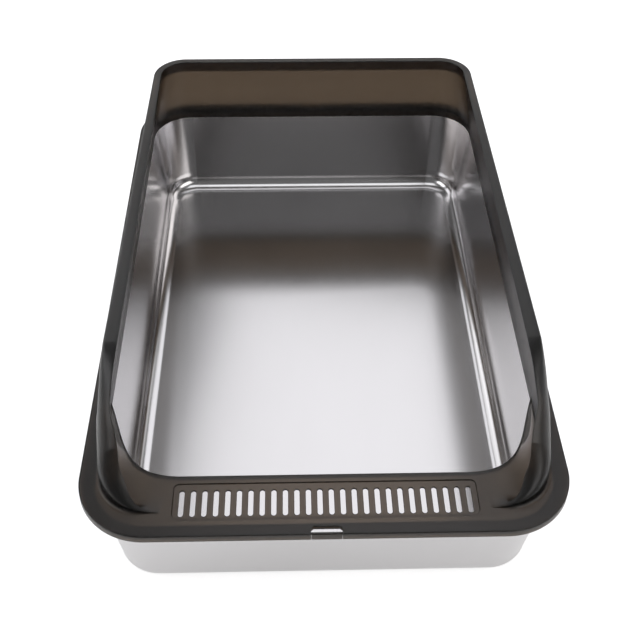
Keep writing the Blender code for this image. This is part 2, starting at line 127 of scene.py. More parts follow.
# Enclosure: front apron and grille
APRON_DEPTH = 0.057
APRON_LIP_DROP = 0.0050
APRON_EDGE = 0.0007
SWEEP_LENGTH = 0.083
SWEEP_WIDTH = 0.0692
SWEEP_PULL_SHARE = 0.26
SWEEP_RISE_SHARE = 0.45
KNEE_FILLET = 0.010
KNEE_SHARE = 0.3
KNEE_LIMIT_SHARE = 0.45
RIB_TOP_DROP = 0.0040
PANEL_MARGIN = 0.0785
PANEL_DEPTH = 0.0315
PANEL_INSET = 0.0175
PANEL_RADIUS = 0.0040
PANEL_RECESS = 0.0010
PANEL_SLOPE = 0.0006
PAD_DROP = 0.0008
PAD_MARGIN = 0.0012
SLOT_COUNT = 26
SLOT_PITCH = 0.0092
SLOT_WIDTH = 0.0042
SLOT_LENGTH = 0.0245
SLOT_INSET = 0.0313
CUT_EDGE = 0.0003

# Round marks that the mould's ejector pins leave in the flange
MARK_RADIUS = 0.0040
MARK_DEPTH = 0.00012
MARK_INSET = 0.0115
MARK_PLACES = (-0.1107, -0.0198, 0.0198, 0.1107)

# Snap catches and their windows
WINDOW_LENGTH = 0.0247
WINDOW_DEPTH = 0.0080
WINDOW_CHAMFER = 0.0020
CATCH_NUB = 0.0003
CATCH_NUB_HEIGHT = 0.0012
CATCH_SPACING = 0.2320

# Counts of steps
PAN_CORNER_STEPS = 28
PAN_BEND_STEPS = 8
PAN_FILLET_STEPS = 14
FRONT_CORNER_STEPS = 64
BACK_CORNER_STEPS = 32
SWEEP_SIDE_STEPS = 28
SWEEP_FRONT_STEPS = 18
LIP_TOE_STEPS = 2
LIP_STEPS = 5
FOOT_FILLET_STEPS = 6
WALL_STEPS = 12
BAND_STEPS = 6
BAND_TOP_STEPS = 5
CREST_STEPS = 4
KNEE_STEPS = 12
EDGE_STEPS = 4
SLOT_END_STEPS = 12
PANEL_CORNER_STEPS = 8
MARK_STEPS = 40
FOOT_EDGE_STEPS = 6
FOOT_TURN_STEPS = 64

# Levels and insets that follow
RIM_INSET = LIP_WALL + CATCH_NUB + GAP
MOUTH_INSET = RIM_INSET + FLANGE_WIDTH
RIB_INNER = MOUTH_INSET + RIB_CLEARANCE + RIB_WALL
WALL_FOOT = RIB_INNER - WALL
PAN_UNDERSIDE = FOOT_HEIGHT + GAP
PAN_FLOOR = PAN_UNDERSIDE + STEEL
PAN_RIM = PAN_FLOOR + PAN_DEPTH
PLATE_TOP = PAN_RIM + GAP + PLATE
SIDE_EDGE = WIDTH / 2
END_EDGE = LENGTH / 2
CORNER_X = SIDE_EDGE - CORNER_RADIUS
CORNER_Y = END_EDGE - CORNER_RADIUS
APRON_Y = APRON_DEPTH - END_EDGE
CORNER_RUN = (CORNER_RADIUS - WALL_FOOT) * pi / 2
SWEEP_SIDE_RUN = APRON_DEPTH + SWEEP_LENGTH - CORNER_RADIUS
SWEEP_FRONT_X = SIDE_EDGE - RIB_INNER - SWEEP_WIDTH
SWEEP_FRONT_RUN = CORNER_RUN + CORNER_X - SWEEP_FRONT_X
PANEL_WIDTH = WIDTH - 2 * PANEL_MARGIN

# Map of the flat sheet that the pan is drawn from
SHEET_MAP = "sheet"

# Looks. Tones and roughness are pairs, between which a noise moves. A grain or a cloud is the
# noise's scale, stretch and detail, and a relief is a bump's strength and depth.
NOISE_SPAN = (0.3, 0.7)
UNIT_SPAN = (0, 1)
STEEL_GRAIN = (1500.0, (1.0, 0.012, 1.0), 3.0)
STEEL_CLOUD = (9.0, (1.0, 0.5, 1.0), 2.0)
STEEL_TONES = ((0.640, 0.630, 0.635), (0.665, 0.655, 0.662))
STEEL_ROUGHNESS = (0.165, 0.18)
STEEL_GRAIN_ROUGHNESS = (0.0, 0.03)
STEEL_ANISOTROPY = 0.2
STEEL_RELIEF = (0.04, 0.00001)
PLASTIC_GRAIN = (1400.0, (1, 1, 1), 2.0)
PLASTIC_CLOUD = (22.0, (1, 1, 1), 2.0)
PLASTIC_TONES = ((0.56, 0.53, 0.51), (0.62, 0.59, 0.57))
PLASTIC_ROUGHNESS = (0.30, 0.36)
PLASTIC_IOR = 1.49
PLASTIC_RELIEF = (0.05, 0.00003)
RUBBER_GRAIN = (2500.0, (1, 1, 1), 3.0)
RUBBER_TONES = ((0.024, 0.024, 0.025), (0.040, 0.039, 0.039))
RUBBER_ROUGHNESS = (0.78, 0.92)
RUBBER_SPECULAR = 0.3
RUBBER_RELIEF = (0.25, 0.0001)

# Smoke in the plastic, for a 2.2 mm wall that lets about a tenth of the light through
SMOKE_DENSITY = 1200.0
SMOKE_COLOUR = (0.37, 0.27, 0.14)

# Studio: levels of the light, where 1 is white
FILL_LEVEL = 0.42
FLOOR_SIZE = 6.0
FLOOR_COLOUR = (0.80, 0.80, 0.80)
FLOOR_ROUGHNESS = 0.9
FLOOR_GLOW = 0.60
GLOSS_SHARE = 0.5
DOME_LEVEL = 0.16
BACKDROP_TOP = (0.10, 0.38)
BACKDROP_TILT = 0.40
SOFTBOX_DISTANCE = 2.0
# Name, turn from the back to the right, rise from the floor, size, level, colour
SOFTBOXES = (
    ("softbox_back", 14, 62, (1.30, 1.50), 1.15, (0.97, 0.97, 1.0)),
    ("softbox_top", 180, 84, (1.3, 0.7), 1.3, (0.97, 0.98, 1.0)),
    ("softbox_corner", -38, 41, (0.8, 0.9), 1.15, (0.98, 0.98, 1.0)),
    ("softbox_left", -100, 39, (1.6, 0.9), 2.0, (0.98, 0.98, 1.0)),
    ("softbox_right", 124, 39, (1.9, 0.9), 2.0, (1.0, 0.98, 0.96)),
)

# Camera, solved from the straight edges in the photograph
IMAGE_SIZE = 640
FOCAL_PIXELS = 972.57
CENTRE_PIXEL = 317.03
SENSOR = 36.0
CAMERA_PLACE = (-0.02187, -0.70777, 0.76060)
CAMERA_YAW = 0.0306
CAMERA_PITCH = 0.7953
CAMERA_ROLL = 0.0097


# Mesh helpers

def mesh_from(name, bm):
    bmesh.ops.recalc_face_normals(bm, faces=bm.faces)
    mesh = bpy.data.meshes.new(name)
    bm.to_mesh(mesh)
    bm.free()
    mesh.shade_smooth()
    mesh.set_sharp_from_angle(angle=SHARP_ANGLE)
    return mesh


def add_object(name, mesh, material=None):
    item = bpy.data.objects.new(name, mesh)
    bpy.context.scene.collection.objects.link(item)
    if material:
        mesh.materials.append(material)
    return item


def skin(bm, loops):
    """Quads between neighbouring loops of points; returns the loops' vertices."""
    rows = [[bm.verts.new(point) for point in loop] for loop in loops]
    for first, second in zip(rows, rows[1:]):
        count = len(first)
        for i in range(count):
            j = (i + 1) % count
            bm.faces.new((first[i], first[j], second[j], second[i]))
    return rows


def capped_skin(bm, loops):
    rows = skin(bm, loops)
    bm.faces.new(rows[0])
    bm.faces.new(reversed(rows[-1]))


def arc(centre, radius, start, end, steps):
    return [
        (centre[0] + radius * cos(start + (end - start) * i / steps),
         centre[1] + radius * sin(start + (end - start) * i / steps))
        for i in range(steps + 1)
    ]


def circle(centre, radius, steps, level):
    turned = arc(centre, radius, 0, 2 * pi, steps)[:-1]
    return [(x, y, level) for x, y in turned]


def curve_between(first, middle, last, steps):
    points = []
    for i in range(steps + 1):
        t = i / steps
        points.append((1 - t) ** 2 * first + 2 * t * (1 - t) * middle + t * t * last)
    return points


def rounded_outline(half_x, half_y, radius, steps, centre=(0, 0)):
    """Rounded rectangle, anticlockwise seen from above."""
    points = []
    for corner in range(4):
        side_x = 1 if corner in (0, 3) else -1
        side_y = 1 if corner in (0, 1) else -1
        middle = (centre[0] + side_x * (half_x - radius), centre[1] + side_y * (half_y - radius))
        points += arc(middle, radius, corner * pi / 2, (corner + 1) * pi / 2, steps)
    return points


def inset_ring(inset, level, steps):
    outline = rounded_outline(SIDE_EDGE - inset, END_EDGE - inset, CORNER_RADIUS - inset, steps)
    return [(x, y, level) for x, y in outline]


def weigh_normals(item):
    """Keeps large flat faces flat in the shading beside small bends."""
    item.modifiers.new("weighted", "WEIGHTED_NORMAL").keep_sharp = True


# Materials

def new_material(name, settings):
    """Material with a Principled shader, whose uniform settings sit on its own sockets."""
    material = bpy.data.materials.new(name)
    material.use_nodes = True
    nodes = material.node_tree.nodes
    shader = nodes["Principled BSDF"]
    for socket, value in settings.items():
        shader.inputs[socket].default_value = value
    return material, nodes, material.node_tree.links, shader


def stretched_noise(nodes, links, settings, source="Object"):
    scale, stretch, detail = settings
    place = nodes.new("ShaderNodeTexCoord")
    mapping = nodes.new("ShaderNodeMapping")
    mapping.inputs["Scale"].default_value = stretch
    links.new(place.outputs[source], mapping.inputs["Vector"])
    noise = nodes.new("ShaderNodeTexNoise")
    noise.inputs["Scale"].default_value = scale
    noise.inputs["Detail"].default_value = detail
    links.new(mapping.outputs["Vector"], noise.inputs["Vector"])
    return noise


def mapped(nodes, links, source, before, after):
    """Carries a value from one span to another."""
    span = nodes.new("ShaderNodeMapRange")
    span.inputs["From Min"].default_value, span.inputs["From Max"].default_value = before
    span.inputs["To Min"].default_value, span.inputs["To Max"].default_value = after
    links.new(source, span.inputs["Value"])
    return span.outputs["Result"]


def varied(nodes, links, noise, pair):
    """Value between the two of a pair, as the noise goes up and down."""
    return mapped(nodes, links, noise.outputs["Fac"], NOISE_SPAN, pair)


def toned(nodes, links, noise, tones):
    """Colour between two tones, as the noise goes up and down."""
    mix_node = nodes.new("ShaderNodeMix")
    mix_node.data_type = "RGBA"
    mix_node.inputs["A"].default_value = (*tones[0], 1)
    mix_node.inputs["B"].default_value = (*tones[1], 1)
    links.new(varied(nodes, links, noise, UNIT_SPAN), mix_node.inputs["Factor"])
    return mix_node.outputs["Result"]


def combined(nodes, links, operation, first, second):
    """Output of a math node on two others."""
    node = nodes.new("ShaderNodeMath")
    node.operation = operation
    links.new(first, node.inputs[0])
    links.new(second, node.inputs[1])
    return node.outputs["Value"]


def bump(nodes, links, noise, relief):
    node = nodes.new("ShaderNodeBump")
    node.inputs["Strength"].default_value, node.inputs["Distance"].default_value = relief
    links.new(noise.outputs["Fac"], node.inputs["Height"])
    return node.outputs["Normal"]


def steel_material():
    """Satin stainless sheet, brushed lengthwise before it was drawn, with a faint cloud."""
    material, nodes, links, shader = new_material(
        "satin_steel", {"Metallic": 1.0, "Anisotropic": STEEL_ANISOTROPY})
    grain = stretched_noise(nodes, links, STEEL_GRAIN, "UV")
    cloud = stretched_noise(nodes, links, STEEL_CLOUD)
    links.new(toned(nodes, links, cloud, STEEL_TONES), shader.inputs["Base Color"])
    gloss = combined(nodes, links, "ADD", varied(nodes, links, cloud, STEEL_ROUGHNESS),
                     varied(nodes, links, grain, STEEL_GRAIN_ROUGHNESS))
    links.new(gloss, shader.inputs["Roughness"])
    links.new(bump(nodes, links, grain, STEEL_RELIEF), shader.inputs["Normal"])
    across = nodes.new("ShaderNodeTangent")
    across.direction_type = "UV_MAP"
    across.uv_map = SHEET_MAP
    links.new(across.outputs["Tangent"], shader.inputs["Tangent"])
    return material


def plastic_material():
    """Smoked translucent plastic with a fine moulded skin; the light dies with the way inside."""
    material, nodes, links, shader = new_material(
        "smoked_plastic", {"IOR": PLASTIC_IOR, "Transmission Weight": 1.0})
    grain = stretched_noise(nodes, links, PLASTIC_GRAIN)
    cloud = stretched_noise(nodes, links, PLASTIC_CLOUD)
    links.new(toned(nodes, links, cloud, PLASTIC_TONES), shader.inputs["Base Color"])
    links.new(varied(nodes, links, cloud, PLASTIC_ROUGHNESS), shader.inputs["Roughness"])
    links.new(bump(nodes, links, grain, PLASTIC_RELIEF), shader.inputs["Normal"])
    smoke = nodes.new("ShaderNodeVolumeAbsorption")
    smoke.inputs["Color"].default_value = (*SMOKE_COLOUR, 1)
    smoke.inputs["Density"].default_value = SMOKE_DENSITY
    links.new(smoke.outputs["Volume"], nodes["Material Output"].inputs["Volume"])
    return material


def rubber_material():
    material, nodes, links, shader = new_material(
        "foot_rubber", {"Specular IOR Level": RUBBER_SPECULAR})
    grain = stretched_noise(nodes, links, RUBBER_GRAIN)
    links.new(toned(nodes, links, grain, RUBBER_TONES), shader.inputs["Base Color"])
    links.new(varied(nodes, links, grain, RUBBER_ROUGHNESS), shader.inputs["Roughness"])
    links.new(bump(nodes, links, grain, RUBBER_RELIEF), shader.inputs["Normal"])
    return material


# Steel pan

def pan_profile():
    """Insets and levels of the upper skin, from the rolled edge of the skirt to the floor.

    Where the drawn wall meets the bend of the floor there is a faint step from the press.
    """
    skirt_low = PAN_RIM - SKIRT_DROP
    roll = (RIM_INSET + SKIRT_LEAN + SKIRT_ROLL, skirt_low + SKIRT_ROLL)
    bend = (RIM_INSET + RIM_BEND, PAN_RIM - RIM_BEND)
    mouth = (MOUTH_INSET - MOUTH_BEND, PAN_RIM - MOUTH_BEND)
    wall_low = MOUTH_INSET + PAN_DRAFT
    fillet = (wall_low + FLOOR_FILLET, PAN_FLOOR + FLOOR_FILLET)
    points = arc(roll, SKIRT_ROLL, 1.5 * pi, pi, PAN_BEND_STEPS)
    points += arc(bend, RIM_BEND, pi, pi / 2, PAN_BEND_STEPS)
    points += arc(mouth, MOUTH_BEND, pi / 2, 0, PAN_BEND_STEPS)
    step_low = fillet[1] + DRAW_STEP_UP
    points += [(wall_low - DRAW_STEP, step_low + DRAW_STEP_RISE), (wall_low, step_low)]
    points += arc(fillet, FLOOR_FILLET, pi, 1.5 * pi, PAN_FILLET_STEPS)
    return points


def lay_out_sheet(bm, rows, profile):
    """Maps each point to its place in the flat sheet, with the grain along the map's V."""
    outward = profile[::-1]
    away = [0.0]
    for first, second in zip(outward, outward[1:]):
        away.append(away[-1] + dist(first, second))
    floor_corner = CORNER_RADIUS - profile[-1][0]
    flat = {}
    for row, reach in zip(reversed(rows), away):
        for vert in row:
            corner = Vector((copysign(CORNER_X, vert.co.x), copysign(CORNER_Y, vert.co.y)))
            out = Vector((vert.co.x - corner.x if abs(vert.co.x) > CORNER_X else 0,
                          vert.co.y - corner.y if abs(vert.co.y) > CORNER_Y else 0))
            base = Vector((vert.co.x, vert.co.y)) - out
            flat[vert] = base + out.normalized() * (floor_corner + reach)
    layer = bm.loops.layers.uv.new(SHEET_MAP)
    for face in bm.faces:
        for loop in face.loops:
            loop[layer].uv = flat[loop.vert]


def make_pan(material):
    bm = bmesh.new()
    profile = pan_profile()
    rows = skin(bm, [inset_ring(inset, level, PAN_CORNER_STEPS) for inset, level in profile])
    bm.faces.new(rows[-1])
    lay_out_sheet(bm, rows, profile)
    pan = add_object("pan_shell", mesh_from("pan_shell", bm), material)
    floor = max(pan.data.polygons, key=lambda face: face.area)
    sheet = pan.modifiers.new("sheet", "SOLIDIFY")
    sheet.thickness = STEEL
    sheet.offset = -1.0 if floor.normal.z > 0 else 1.0
    sheet.use_even_offset = True
    weigh_normals(pan)
    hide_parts("pan")
    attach(pan, "base")


# Rubber feet

def make_feet(material):
    outline = arc((FOOT_RADIUS - FOOT_CHAMFER, FOOT_CHAMFER), FOOT_CHAMFER, -pi / 2, 0,
                  FOOT_EDGE_STEPS)
    outline.append((FOOT_RADIUS, FOOT_HEIGHT))
    names = {"foot_front_left": (-1, -1), "foot_front_right": (1, -1),
             "foot_back_left": (-1, 1), "foot_back_right": (1, 1)}
    for name, (side_x, side_y) in names.items():
        bm = bmesh.new()
        capped_skin(bm, [circle((0, 0), radius, FOOT_TURN_STEPS, level)
                         for radius, level in outline])
        foot = add_object(name + "_pad", mesh_from(name, bm), material)
        foot.location = (side_x * (SIDE_EDGE - FOOT_INSET), side_y * (END_EDGE - FOOT_INSET), 0)
        weigh_normals(foot)
        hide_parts(name)
        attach(foot, "base")


# Enclosure

def smooth(share):
    share = min(1.0, max(0.0, share))
    return share * share * (3 - 2 * share)


def mix(first, second, share):
    return first + (second - first) * share


def passed(run, span):
    return smooth((run - span[0]) / (span[1] - span[0]))


def crest_height(run):
    height = (WALL_HEIGHT - DROOP * passed(run, DROOP_RUN)) * (1 - passed(run, FALL_RUN))
    return height if height > LEAST_HEIGHT else 0.0


def crest_pull(run):
    return PULL * passed(run, PULL_RUN) * (1 - passed(run, PULL_FADE_RUN))


def foot_shift(run):
    """The wall's foot comes further in along the front than along the sides."""
    return FOOT_SHIFT * passed(run, FOOT_SHIFT_RUN)


def on_corner(out, side):
    return (CORNER_X + CORNER_RADIUS * out[0], side * CORNER_Y + CORNER_RADIUS * out[1])


def stations():
    """Places round the +X half of the box, from the middle of the front to the middle of the back.

    Each is a point on the outer edge, the direction outward and the run along the foot line.
    Round the back the section doesn't change, so one far run stands for all.
    """
    places = [((0, -END_EDGE), (0, -1), CORNER_RUN + CORNER_X)]
    for i in range(SWEEP_FRONT_STEPS):
        x = mix(SWEEP_FRONT_X, CORNER_X, i / SWEEP_FRONT_STEPS)
        places.append(((x, -END_EDGE), (0, -1), CORNER_RUN + CORNER_X - x))
    for i in range(FRONT_CORNER_STEPS + 1):
        share = 1 - i / FRONT_CORNER_STEPS
        out = (cos(share * pi / 2), -sin(share * pi / 2))
        places.append((on_corner(out, -1), out, CORNER_RUN * share))
    for i in range(1, SWEEP_SIDE_STEPS + 1):
        run = SWEEP_SIDE_RUN * i / SWEEP_SIDE_STEPS
        places.append(((SIDE_EDGE, run - CORNER_Y), (1, 0), -run))
    for i in range(BACK_CORNER_STEPS + 1):
        angle = pi / 2 * i / BACK_CORNER_STEPS
        out = (cos(angle), sin(angle))
        places.append((on_corner(out, 1), out, FAR_RUN))
    places.append(((0, END_EDGE), (0, 1), FAR_RUN))
    return places


def at_inset(place, out, inset, height):
    return Vector((place[0] - out[0] * inset, place[1] - out[1] * inset, PLATE_TOP + height))


def sweep_point(share):
    side = SIDE_EDGE - RIB_INNER
    pull = side - SWEEP_WIDTH * SWEEP_PULL_SHARE
    rise = APRON_Y + SWEEP_LENGTH * SWEEP_RISE_SHARE
    first = Vector((side, APRON_Y + SWEEP_LENGTH, PLATE_TOP))
    second = Vector((pull, rise, PLATE_TOP))
    third = Vector((pull, APRON_Y, PLATE_TOP))
    last = Vector((side - SWEEP_WIDTH, APRON_Y, PLATE_TOP))
    rest = 1 - share
    return (rest ** 3 * first + 3 * share * rest ** 2 * second
            + 3 * share ** 2 * rest * third + share ** 3 * last)


def inner_edge(place, out, run):
    share = (run + SWEEP_SIDE_RUN) / (SWEEP_FRONT_RUN + SWEEP_SIDE_RUN)
    if share <= 0:
        return at_inset(place, out, RIB_INNER, 0), 0.0
    if share >= 1:
        return Vector((place[0], APRON_Y, PLATE_TOP)), 1.0
    return sweep_point(share), smooth(share)


def toward(start, end, reach):
    step = end - start
    if step.length < MERGE:
        return start
    return start + step * min(KNEE_LIMIT_SHARE, reach / step.length)


def wall_line(run, height):
    return WALL_FOOT + foot_shift(run) + WALL_LEAN * height / WALL_HEIGHT


def band_line(run, height):
    reach = BAND_REACH + FLARE * passed(run, FLARE_RUN)
    return wall_line(run, height) - reach * height / WALL_HEIGHT


def crest_edge(run):
    """Middle of the small round along the crest, and its radius."""
    height = crest_height(run)
    radius = min(CREST_EDGE, height * EDGE_LIMIT_SHARE)
    inset = wall_line(run, height) + crest_pull(run) + WALL - radius
    return Vector((inset, height - radius)), radius


def foot_top(run):
    height = min(FOOT_FILLET, crest_height(run) * FILLET_LIMIT_SHARE)
    return Vector((wall_line(run, height), height))


def swell_point(run, share, thickness=0.0):
    """Point of the wall's outer face at a front corner, or of the face behind it.

    The share runs from the fillet at the wall's foot to the crest.
    """
    centre, radius = crest_edge(run)
    start = foot_top(run)
    height = crest_height(run)
    bulge = SWELL_OUT * height / WALL_HEIGHT
    middle = Vector((wall_line(run, 0) - bulge, height * SWELL_UP_SHARE))
    end = centre + Vector((0, radius))
    point = (1 - share) ** 2 * start + 2 * share * (1 - share) * middle + share ** 2 * end
    if not thickness:
        return point
    along = (1 - share) * (middle - start) + share * (end - middle)
    return point + Vector((along.y, -along.x)).normalized() * thickness


def outer_section(run):
    """Insets and heights from the lip's lower edge, over the flange and up to the crest.

    Along the sides and the back the wall ends in a band that hangs over outward. Toward each
    front corner the band runs out, and the wall swells outward instead.
    """
    height = crest_height(run)
    level = height / WALL_HEIGHT
    foot = wall_line(run, 0)
    points = arc((LIP_TOE, LIP_TOE - LIP_DROP), LIP_TOE, 1.5 * pi, pi, LIP_TOE_STEPS)
    points += arc((LIP_DRAFT + LIP_EDGE, -LIP_EDGE), LIP_EDGE, pi, pi / 2, LIP_STEPS)
    start = foot_top(run)
    points += [tuple(point) for point in curve_between(
        Vector((foot - start.y, 0)), Vector((foot, 0)), start, FOOT_FILLET_STEPS)]
    full = passed(run, SWELL_RUN)
    closed = passed(full, NOTCH_SHARES)
    full, closed = (1.0 if share > SWELL_FULL else share for share in (full, closed))
    low = height - BAND_DROP * level
    under = mix(height - BAND_PLATE * level, low, closed)
    lip = BAND_WALL * level
    edge = min(BAND_EDGE, height * EDGE_LIMIT_SHARE)
    centre, crest = crest_edge(run)
    wall = [(wall_line(run, at), at) for at in
            (mix(start.y, under, i / WALL_STEPS) for i in range(1, WALL_STEPS + 1))]
    lip_points = [(band_line(run, under) + lip, under), (band_line(run, low) + lip, low),
                  (band_line(run, low), low)]
    corner = band_line(run, height) + edge
    band = arc((corner, height - edge), edge, pi, pi / 2, BAND_STEPS)
    band += [(mix(corner, centre.x, i / (BAND_TOP_STEPS + 1)), height)
             for i in range(1, BAND_TOP_STEPS + 1)]
    shares = [SWELL_SPLIT_SHARE * i / len(wall) for i in range(1, len(wall) + 1)]
    shares += [SWELL_SPLIT_SHARE] * len(lip_points)
    shares += [mix(SWELL_SPLIT_SHARE, 1, i / (len(band) + 1)) for i in range(1, len(band) + 1)]
    points += [tuple(Vector(hung).lerp(swell_point(run, share), full))
               for hung, share in zip(wall + lip_points + band, shares)]
    points += arc(tuple(centre), crest, pi / 2, 0, CREST_STEPS)
    return points


def inner_section(place, out, run):
    """Points from below the crest down the wall, over the apron and round its rib."""
    height = crest_height(run)
    edge, apron = inner_edge(place, out, run)
    centre, crest = crest_edge(run)
    flat = 1 - smooth(height / FLAT_HEIGHT)
    crest_inner = at_inset(place, out, centre.x + crest, centre.y)
    knee = at_inset(place, out, wall_line(run, 0) + WALL, 0).lerp(edge, KNEE_SHARE * flat * apron)
    knee_start = toward(knee, crest_inner, KNEE_FILLET)
    hollow = passed(run, SWELL_RUN) * passed(height, HOLLOW_HEIGHTS)
    points = []
    for i in range(1, WALL_STEPS + 1):
        share = mix(1, SWELL_FOOT_SHARE, (i - 1) / (WALL_STEPS - 1))
        behind = at_inset(place, out, *swell_point(run, share, WALL))
        points.append(crest_inner.lerp(knee_start, i / WALL_STEPS).lerp(behind, hollow))
    edge_top = edge - Vector((0, 0, RIB_TOP_DROP * (1 - apron)))
    edge_low = edge - Vector((0, 0, mix(RIB_DROP, APRON_LIP_DROP, apron)))
    knee_end = toward(knee, edge_top, KNEE_FILLET)
    points += curve_between(points.pop(), knee, knee_end, KNEE_STEPS)
    points += curve_between(toward(edge_top, knee_end, APRON_EDGE), edge_top,
                            toward(edge_top, edge_low, APRON_EDGE), EDGE_STEPS)
    back = (at_inset(place, out, 0, 0) - edge).normalized() * RIB_WALL
    rib_low = edge_low + back
    rib_high = Vector((rib_low.x, rib_low.y, PLATE_TOP - PLATE))
    return points + [edge_low, rib_low, rib_high]


def enclosure_section(place, out, run):
    points = [at_inset(place, out, *point) for point in outer_section(run)]
    points += inner_section(place, out, run)
    points.append(at_inset(place, out, LIP_WALL, -PLATE))
    points.append(at_inset(place, out, LIP_WALL, -LIP_DROP))
    return points


def cutter(name, pieces):
    """Hidden shape of closed lofts for cutting; each piece is a list of loops of points."""
    bm = bmesh.new()
    for loops in pieces:
        capped_skin(bm, loops)
    item = add_object(name, mesh_from(name, bm))
    item.hide_render = True
    item.hide_set(True)
    return item


def flared(outline_at, low, high, edge):
    """Loops of a cut between two faces of a plate, whose rims are broken by a small edge."""
    levels = [(low - OVERRUN, edge + OVERRUN), (low + edge, 0), (high - edge, 0),
              (high + OVERRUN, edge + OVERRUN)]
    return [[(x, y, level) for x, y in outline_at(grow)] for level, grow in levels]


def slot_pieces():
    pieces = []
    middle_y = SLOT_INSET - END_EDGE
    straight = (SLOT_LENGTH - SLOT_WIDTH) / 2
    for i in range(SLOT_COUNT):
        x = (i - (SLOT_COUNT - 1) / 2) * SLOT_PITCH

        def outline_at(grow, x=x):
            radius = SLOT_WIDTH / 2 + grow
            points = arc((x, middle_y + straight), radius, 0, pi, SLOT_END_STEPS)
            return points + arc((x, middle_y - straight), radius, pi, 2 * pi, SLOT_END_STEPS)

        pieces.append(flared(outline_at, PLATE_TOP - PLATE - PAD_DROP, PLATE_TOP - PANEL_RECESS,
                             CUT_EDGE))
    return pieces


def panel_outline(grow, level):
    centre = (0, PANEL_INSET + PANEL_DEPTH / 2 - END_EDGE)
    outline = rounded_outline(PANEL_WIDTH / 2 + grow, PANEL_DEPTH / 2 + grow,
                              PANEL_RADIUS + grow, PANEL_CORNER_STEPS, centre)
    return [(x, y, level) for x, y in outline]


def panel_pieces():
    levels = [(-PANEL_RECESS, 0), (0, PANEL_SLOPE), (OVERRUN, PANEL_SLOPE)]
    return [[panel_outline(grow, PLATE_TOP + level) for level, grow in levels]]


def pad_pieces():
    """Extra plastic under the sunk panel, which keeps the plate about as thick there."""
    low = PLATE_TOP - PLATE
    return [[panel_outline(PAD_MARGIN, level)
             for level in (low - PAD_DROP, low + (PLATE - PANEL_RECESS) / 2)]]


def mark_pieces():
    return [[circle((x, MARK_INSET - END_EDGE), MARK_RADIUS, MARK_STEPS, PLATE_TOP + level)
             for level in (-MARK_DEPTH, OVERRUN)] for x in MARK_PLACES]


def catch_places():
    """Name, outward turn about Z and middle of the lip's outer face for each catch."""
    half = CATCH_SPACING / 2
    return {
        "catch_front": (0, (0, -END_EDGE)),
        "catch_right_front": (pi / 2, (SIDE_EDGE, -half)),
        "catch_right_back": (pi / 2, (SIDE_EDGE, half)),
        "catch_back": (pi, (0, END_EDGE)),
        "catch_left_back": (-pi / 2, (-SIDE_EDGE, half)),
        "catch_left_front": (-pi / 2, (-SIDE_EDGE, -half)),
    }


def catch_frame(turn, middle):
    return Matrix.Translation((*middle, 0)) @ Matrix.Rotation(turn, 4, "Z")


def window_pieces():
    half = WINDOW_LENGTH / 2
    deep = WINDOW_DEPTH
    slope = WINDOW_CHAMFER
    outline = [(-half, -OVERRUN), (half, -OVERRUN), (half, deep - slope), (half - slope, deep),
               (slope - half, deep), (-half, deep - slope)]
    pieces = []
    for turn, middle in catch_places().values():
        matrix = catch_frame(turn, middle)
        pieces.append([[matrix @ Vector((x, y, level)) for x, y in outline]
                       for level in (PLATE_TOP - LIP_DROP - OVERRUN, PLATE_TOP + OVERRUN)])
    return pieces


def make_enclosure(material):
    bm = bmesh.new()
    skin(bm, [enclosure_section(*place) for place in stations()])
    bmesh.ops.remove_doubles(bm, verts=bm.verts, dist=MERGE)
    shell = add_object("enclosure_shell", mesh_from("enclosure_shell", bm), material)
    half = shell.modifiers.new("other half", "MIRROR")
    half.use_axis = (True, False, False)
    half.merge_threshold = MERGE
    cuts = {"panel_pad": pad_pieces(), "panel_cut": panel_pieces(), "slot_cut": slot_pieces(),
            "mark_cut": mark_pieces(), "window_cut": window_pieces()}
    for name, pieces in cuts.items():
        step = shell.modifiers.new(name, "BOOLEAN")
        step.operation = "UNION" if name == "panel_pad" else "DIFFERENCE"
        step.object = cutter(name, pieces)
    freeze(shell)
    shell.data.set_sharp_from_angle(angle=SHARP_ANGLE)
    weigh_normals(shell)
    for name in cuts:
        bpy.data.objects.remove(bpy.data.objects[name], do_unlink=True)
    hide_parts("enclosure")
    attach(shell, "top")


def freeze(item):
    """Puts the modifiers' result into the mesh, so that their helpers can go."""
    bpy.context.view_layer.update()
    depsgraph = bpy.context.evaluated_depsgraph_get()
    made = bpy.data.meshes.new_from_object(item.evaluated_get(depsgraph))
    item.modifiers.clear()
    item.data = made


# Snap catches

def catch_section():
    """Inset and drop below the flange's top round a catch."""
    nub_top = LIP_DROP - CATCH_NUB_HEIGHT
    points = [(LIP_TOE * (1 - cos(turn)), LIP_DROP - LIP_TOE * (1 - sin(turn)))
              for turn in (pi / 2, pi / 4, 0)]
    points += arc((LIP_DRAFT + LIP_EDGE, LIP_EDGE), LIP_EDGE, pi, 1.5 * pi, LIP_STEPS)
    return points + [
        (LIP_WALL, 0), (LIP_WALL, nub_top - CATCH_NUB), (LIP_WALL + CATCH_NUB, nub_top),
        (LIP_WALL + CATCH_NUB, LIP_DROP - CATCH_NUB), (LIP_WALL, LIP_DROP),
    ]


def make_catches(material):
    half = WINDOW_LENGTH / 2 - GAP
    for name, (turn, middle) in catch_places().items():
        matrix = catch_frame(turn, middle)
        bm = bmesh.new()
        capped_skin(bm, [[matrix @ Vector((end, inset, PLATE_TOP - drop))
                          for inset, drop in catch_section()] for end in (-half, half)])
        strip = add_object(name + "_strip", mesh_from(name, bm), material)
        weigh_normals(strip)
        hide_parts(name)
        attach(strip, name.replace("catch", "snap"))


# Studio

def largest(nodes, links, sources):
    """Highest of several values."""
    result = sources[0]
    for source in sources[1:]:
        result = combined(nodes, links, "MAXIMUM", result, source)
    return result


